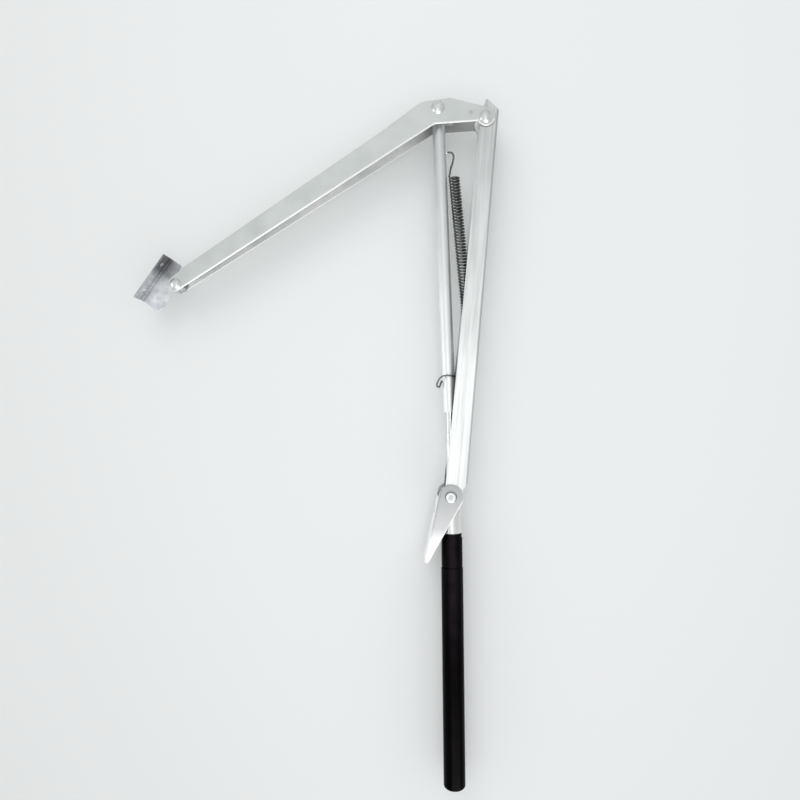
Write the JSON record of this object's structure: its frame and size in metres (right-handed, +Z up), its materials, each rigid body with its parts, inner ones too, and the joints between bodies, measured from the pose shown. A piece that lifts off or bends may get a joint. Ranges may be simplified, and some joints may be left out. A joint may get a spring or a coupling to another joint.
{
  "type": "greenhouse vent opener",
  "caption": "Heat-driven greenhouse vent opener: a wax cylinder pushes a tube that lifts a bent steel lever arm, with a return spring, frame bracket and window bracket.",
  "frame": {"origin": "middle of the frame bracket's mounting face", "axes": "+Z up along the arms as fitted, +X away from the sill towards the arms' web side, +Y across the arms"},
  "size_m": [0.3125, 0.03, 0.5945],
  "materials": {
    "zinc_steel": "satin",
    "rivet_steel": "satin",
    "guide_zinc": "satin",
    "rod_steel": "polished",
    "spring_steel": "satin",
    "black_enamel": "satin",
    "seal_rubber": "matte",
    "wax": "matte"
  },
  "bodies": {
    "frame_bracket": {"frame_bracket": "zinc_steel"},
    "lower_arm": {"lower_arm": "zinc_steel", "pivot_stub_near": "rivet_steel", "pivot_stub_far": "rivet_steel", "guide_block": "guide_zinc", "spring_anchor": "zinc_steel"},
    "upper_arm": {"upper_arm": "zinc_steel", "head_pin": "rivet_steel", "head_spacer": "zinc_steel", "push_pin": "rivet_steel", "push_bush": "zinc_steel", "window_pin": "rivet_steel", "window_spacer": "zinc_steel"},
    "window_bracket": {"window_bracket": "zinc_steel"},
    "push_tube": {"push_tube": "zinc_steel", "tube_insert": "zinc_steel", "push_pad": "zinc_steel", "spring_post": "zinc_steel", "retaining_clip": "rivet_steel", "piston_rod": "rod_steel", "return_spring": "spring_steel"},
    "cylinder": {"cylinder_collar": "black_enamel", "cylinder_tube": "black_enamel", "rod_seal": "seal_rubber", "wax_charge": "wax"}
  },
  "joints": [
    {"name": "frame_pivot", "type": "hinge", "parent": "frame_bracket", "child": "lower_arm", "pos_m": [0.01648, 0, 0.02654], "axis": [0, 1, 0], "range_deg": [-50, 10]},
    {"name": "arm_opening", "type": "hinge", "parent": "lower_arm", "child": "upper_arm", "pos_m": [0.04637, 0, 0.35187], "axis": [0, 1, 0], "range_deg": [-41, 33]},
    {"name": "window_pivot", "type": "hinge", "parent": "upper_arm", "child": "window_bracket", "pos_m": [-0.21993, 0, 0.20986], "axis": [0, 1, 0], "range_deg": [-60, 15]},
    {"name": "push_slide", "type": "slide", "parent": "lower_arm", "child": "push_tube", "axis": [-0.0112, 0, 0.9999], "range_m": [-0.0278, 0.0224], "deforming": ["return_spring"]},
    {"name": "cylinder_turn", "type": "hinge", "parent": "lower_arm", "child": "cylinder", "pos_m": [0.0189, 0, -0.07345], "axis": [-0.0112, 0, 0.9999], "range_deg": [-180, 180]}
  ],
  "couplings": [
    {"joint": "push_slide", "follows": "arm_opening", "m_per_rad": 0.0386}
  ]
}
